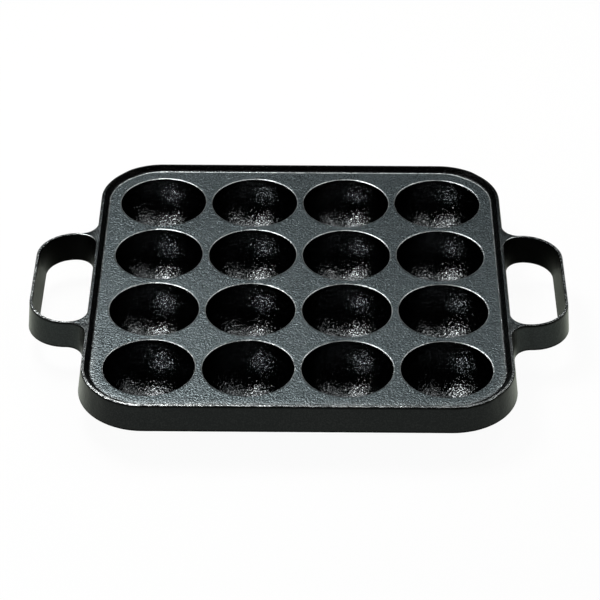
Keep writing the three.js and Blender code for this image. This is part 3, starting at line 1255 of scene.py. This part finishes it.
        # Painted shade: black below the top edge, apart from its bright crest, and along the foot.
        shade = rising(level, *self.shade_zone) * (1 - glint) * (1 - crest)
        foot_shade = rising(-height, *self.foot_shade_zone)
        edge_wear_and_highlight = np.maximum(self.edge_wear_and_highlight(rows), reach * self.loop_highlight)
        return {
            Mark.PAINTED_SHADE: np.maximum(self.at_back(rows) * share, np.maximum(shade, foot_shade)),
            Mark.OPEN: rising(level, *self.open_zone),
            Mark.LAND_AND_PAINTED_SHEEN: self.top_painted_sheen(rows) * share**self.land_power * (1 - loop),
            Mark.EDGE: kept * np.maximum(glint, crest) * edge_wear_and_highlight,
        }

    def whole(self, quarter: Array) -> Array:
        """The whole outline: its quarter, the quarter's mirror image, and both turned half round."""
        half = np.concatenate([quarter[:-1], quarter[:0:-1] * (1, -1)])
        return np.concatenate([half, -half])

    def build(self, tiles: CupTile, finishes: dict[Slot, bpy.types.Material]) -> None:
        """Parts the shell into the walls and the handles, and places them.

        Args:
            tiles: what makes the tiles that the shell meets.
            finishes: the material for each slot.
        """
        s = self.sizes
        shell = self.shell(tiles)
        face, joint = s.handle_face * MM, s.wall_joint * MM
        front, back, left, right = (0, -1, 0), (0, 1, 0), (-1, 0, 0), (1, 0, 0)
        body = [(left, -face), (right, -face)]
        middle = [*body, (front, -joint), (back, -joint)]
        regions = {
            "front_wall": [*body, (front, joint)],
            "back_wall": [*body, (back, joint)],
            "left_wall": [*middle, (left, 0.0)],
            "right_wall": [*middle, (right, 0.0)],
            "left_handle": [(left, face)],
            "right_handle": [(right, face)],
        }
        for node, cuts in regions.items():
            slot = Slot.HANDLE if node.endswith("handle") else Slot.WALL
            part = self.parted(shell, node, cuts)
            self.place(part, node, slot, finishes[Slot.PLATE], finishes[slot])
        bpy.data.meshes.remove(shell)

    def parted(
        self, shell: bpy.types.Mesh, name: str, cuts: list[tuple[tuple[float, float, float], float]],
    ) -> bpy.types.Mesh:
        """The part of the shell on the kept side of some planes, its cut ends closed.

        Args:
            shell: the whole shell.
            name: the new mesh's name.
            cuts: for each plane, the way to the kept side and the plane's distance that way.

        Returns:
            A closed mesh.
        """
        work = bmesh.new()
        work.from_mesh(shell)
        for way, distance in cuts:
            cut = bmesh.ops.bisect_plane(
                work,
                geom=[*work.verts, *work.edges, *work.faces],
                dist=self.cut_tolerance,
                plane_co=tuple(distance * part for part in way),
                plane_no=way,
                clear_inner=True,
            )
            edges = [item for item in cut["geom_cut"] if isinstance(item, bmesh.types.BMEdge)]
            if edges:
                bmesh.ops.holes_fill(work, edges=edges, sides=0)
        mesh = bpy.data.meshes.new(name)
        work.to_mesh(mesh)
        work.free()
        return mesh


@dataclass(frozen=True)
class Softbox:
    """A soft lamp that looks at the pan: the way to it, its distance, size, radiance and tint."""

    name: str
    azimuth: float
    elevation: float
    distance: float
    width: float
    height: float
    radiance: float
    tint: Colour = (1.0, 1.0, 1.0)

    def place(self, aim: Array) -> None:
        """Hangs the lamp.

        Args:
            aim: the point that it looks at, in metres.
        """
        light = bpy.data.lights.new(self.name, "AREA")
        light.shape = "RECTANGLE"
        light.size = self.width
        light.size_y = self.height
        light.energy = self.radiance * math.pi * self.width * self.height
        light.color = self.tint
        right, up, back = view_axes(self.azimuth, self.elevation)
        lamp = bpy.data.objects.new(self.name, light)
        lamp.matrix_world = facing_matrix(right, up, back, aim + back * self.distance)
        lamp.visible_camera = False
        bpy.context.scene.collection.objects.link(lamp)


def view_axes(azimuth: float, elevation: float) -> tuple[Array, Array, Array]:
    """Right, up and back of what looks at the pan from a given side and height.

    Args:
        azimuth: the side in degrees, 0 being the front and 90 the right.
        elevation: the angle over the floor in degrees.

    Returns:
        Three unit vectors.
    """
    turn, rise = math.radians(azimuth), math.radians(elevation)
    back = np.array([math.sin(turn) * math.cos(rise), -math.cos(turn) * math.cos(rise), math.sin(rise)])
    right = np.array([math.cos(turn), math.sin(turn), 0.0])
    return right, np.cross(back, right), back


def facing_matrix(right: Array, up: Array, back: Array, place: Array) -> Matrix:
    """A matrix whose columns are the right, up and back directions and the place."""
    columns = np.vstack([np.stack([right, up, back, place], -1), (0, 0, 0, 1)])
    return Matrix(columns.tolist())


@dataclass
class Studio:
    """Pale floor, plain world, soft lamps and the camera."""

    floor_half: float = 4.0
    floor_colour: Colour = (0.82, 0.81, 0.78)
    shadow_share: float = 0.05
    gloss_share: float = 0.56
    side_gloss: float = 0.95
    side_start: float = 0.10
    side_end: float = 0.19
    gloss_colour: Colour = (0.90, 1.0, 0.82)
    world_colour: Colour = (0.25, 0.255, 0.26)
    world_gloss: float = 0.02
    camera_lens: float = 157.67
    camera_sensor: float = 36.0
    camera_range: Pair = (0.01, 50.0)
    camera_azimuth: float = 0.394
    camera_elevation: float = 35.751
    camera_roll: float = 0.139
    camera_distance: float = 1.1846
    camera_target: tuple[float, float, float] = (0.000520, -0.014281, 0.022487)
    lamp_target: tuple[float, float, float] = (0.0, 0.0, 0.02)
    softboxes: tuple[Softbox, ...] = (
        Softbox("left_back_softbox", 225, 63, 0.55, 0.20, 0.19, 20.0),
        Softbox("back_softbox", 180, 56, 0.8, 0.67, 0.20, 2.3, (0.95, 1.0, 1.01)),
        Softbox("back_panel", 199, 42, 1.5, 0.75, 0.38, 0.45, (0.90, 1.0, 1.02)),
        Softbox("front_left_lamp", 326, 16.5, 0.5, 0.09, 0.08, 23.0, (0.94, 1.0, 1.04)),
        Softbox("right_softbox", 124, 50, 0.7, 0.165, 0.23, 8.0),
    )

    def build(self) -> None:
        """Builds the floor, the world, the lamps and the camera."""
        self.floor()
        self.world()
        for softbox in self.softboxes:
            softbox.place(np.array(self.lamp_target))
        self.camera()
        bpy.context.scene.view_settings.view_transform = "Standard"
        log.info("studio: %d lamps", len(self.softboxes))

    def floor(self) -> None:
        """A wide flat floor. The camera sees it white, with a faint shadow under the pan.

        In the pan's gloss it is dimmer and tinted, and lighter towards the left and right, where
        the distance from the middle grows from side_start to side_end.
        """
        mesh = bpy.data.meshes.new("floor")
        h = self.floor_half
        mesh.from_pydata([(-h, -h, 0), (h, -h, 0), (h, h, 0), (-h, h, 0)], [], [(0, 1, 2, 3)])
        floor = bpy.data.objects.new("floor", mesh)
        bpy.context.scene.collection.objects.link(floor)
        made = bpy.data.materials.new("pale_floor")
        board = ShaderBoard(made)
        paper = board.signal("ShaderNodeBsdfDiffuse", 0, Color=self.floor_colour)
        tint = board.blend(board.ray(Ray.CAMERA), self.gloss_colour, (1.0, 1.0, 1.0))
        white = board.signal("ShaderNodeEmission", 0, Color=tint, Strength=1.0)
        seen = board.ray(Ray.CAMERA) * (1 - self.shadow_share)
        place = board.signal("ShaderNodeTexCoord", "Object")
        across = board.signal("ShaderNodeSeparateXYZ", "X", Vector=place)
        sides = board.ramp(across * across, self.side_start**2, self.side_end**2)
        level = self.gloss_share + sides * (self.side_gloss - self.gloss_share)
        share = seen + board.ray(Ray.GLOSSY) * level
        sheet = board.signal("ShaderNodeMixShader", 0, at_0=share, at_1=paper, at_2=white)
        clear = board.signal("ShaderNodeBsdfTransparent", 0)
        under = board.signal("ShaderNodeNewGeometry", "Backfacing")
        both = board.signal("ShaderNodeMixShader", 0, at_0=under, at_1=sheet, at_2=clear)
        board.node("ShaderNodeOutputMaterial", Surface=both)
        mesh.materials.append(made)

    def world(self) -> None:
        """A dim grey world that the camera sees as white, and that hardly shows in gloss."""
        world = bpy.data.worlds.new("studio")
        board = ShaderBoard(world)
        level = 1 - board.ray(Ray.GLOSSY) * (1 - self.world_gloss)
        dim = board.signal("ShaderNodeBackground", 0, Color=self.world_colour, Strength=level)
        white = board.signal("ShaderNodeBackground", 0, Color=(1.0, 1.0, 1.0), Strength=1.0)
        mixed = board.signal("ShaderNodeMixShader", 0, at_0=board.ray(Ray.CAMERA), at_1=dim, at_2=white)
        board.node("ShaderNodeOutputWorld", Surface=mixed)
        bpy.context.scene.world = world

    def camera(self) -> None:
        """The camera, a long lens that looks down on the pan from the front."""
        data = bpy.data.cameras.new("camera")
        data.sensor_width, data.lens = self.camera_sensor, self.camera_lens
        data.clip_start, data.clip_end = self.camera_range
        level, upright, back = view_axes(self.camera_azimuth, self.camera_elevation)
        roll = math.radians(self.camera_roll)
        right = level * math.cos(roll) + upright * math.sin(roll)
        up = upright * math.cos(roll) - level * math.sin(roll)
        camera = bpy.data.objects.new("camera", data)
        place = np.array(self.camera_target) + back * self.camera_distance
        camera.matrix_world = facing_matrix(right, up, back, place)
        bpy.context.scene.collection.objects.link(camera)
        bpy.context.scene.camera = camera


FINISHES = {
    Slot.PLATE: IronFinish(
        name="plate_iron",
        dark_colour=(0.016, 0.017, 0.018),
        glint_colour=(0.128, 0.134, 0.136),
        dark_roughness=0.12,
        dark_grain=0.00027,
        grain_size=0.0008,
    ),
    Slot.WALL: IronFinish(
        name="wall_iron",
        dark_colour=(0.0150, 0.0156, 0.0170),
        glint_colour=(0.0215, 0.0224, 0.0240),
    ),
    Slot.HANDLE: IronFinish(
        name="handle_iron",
        dark_colour=(0.0235, 0.0252, 0.0270),
        glint_colour=(0.0320, 0.0345, 0.0370),
    ),
}


def main() -> None:
    """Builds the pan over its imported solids, and the studio round it."""
    logging.basicConfig(level=logging.INFO, format="%(name)s: %(message)s")
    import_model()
    sizes = PanSizes()
    grain = CastGrain()
    tiles = CupTile(sizes, grain)
    finishes = {slot: finish.material() for slot, finish in FINISHES.items()}
    for row in range(sizes.cups_per_side):
        for column in range(sizes.cups_per_side):
            tiles.build(column, row, finishes[Slot.PLATE])
    RimAndHandles(sizes, grain).build(tiles, finishes)
    Studio().build()


if __name__ == "__main__":
    main()
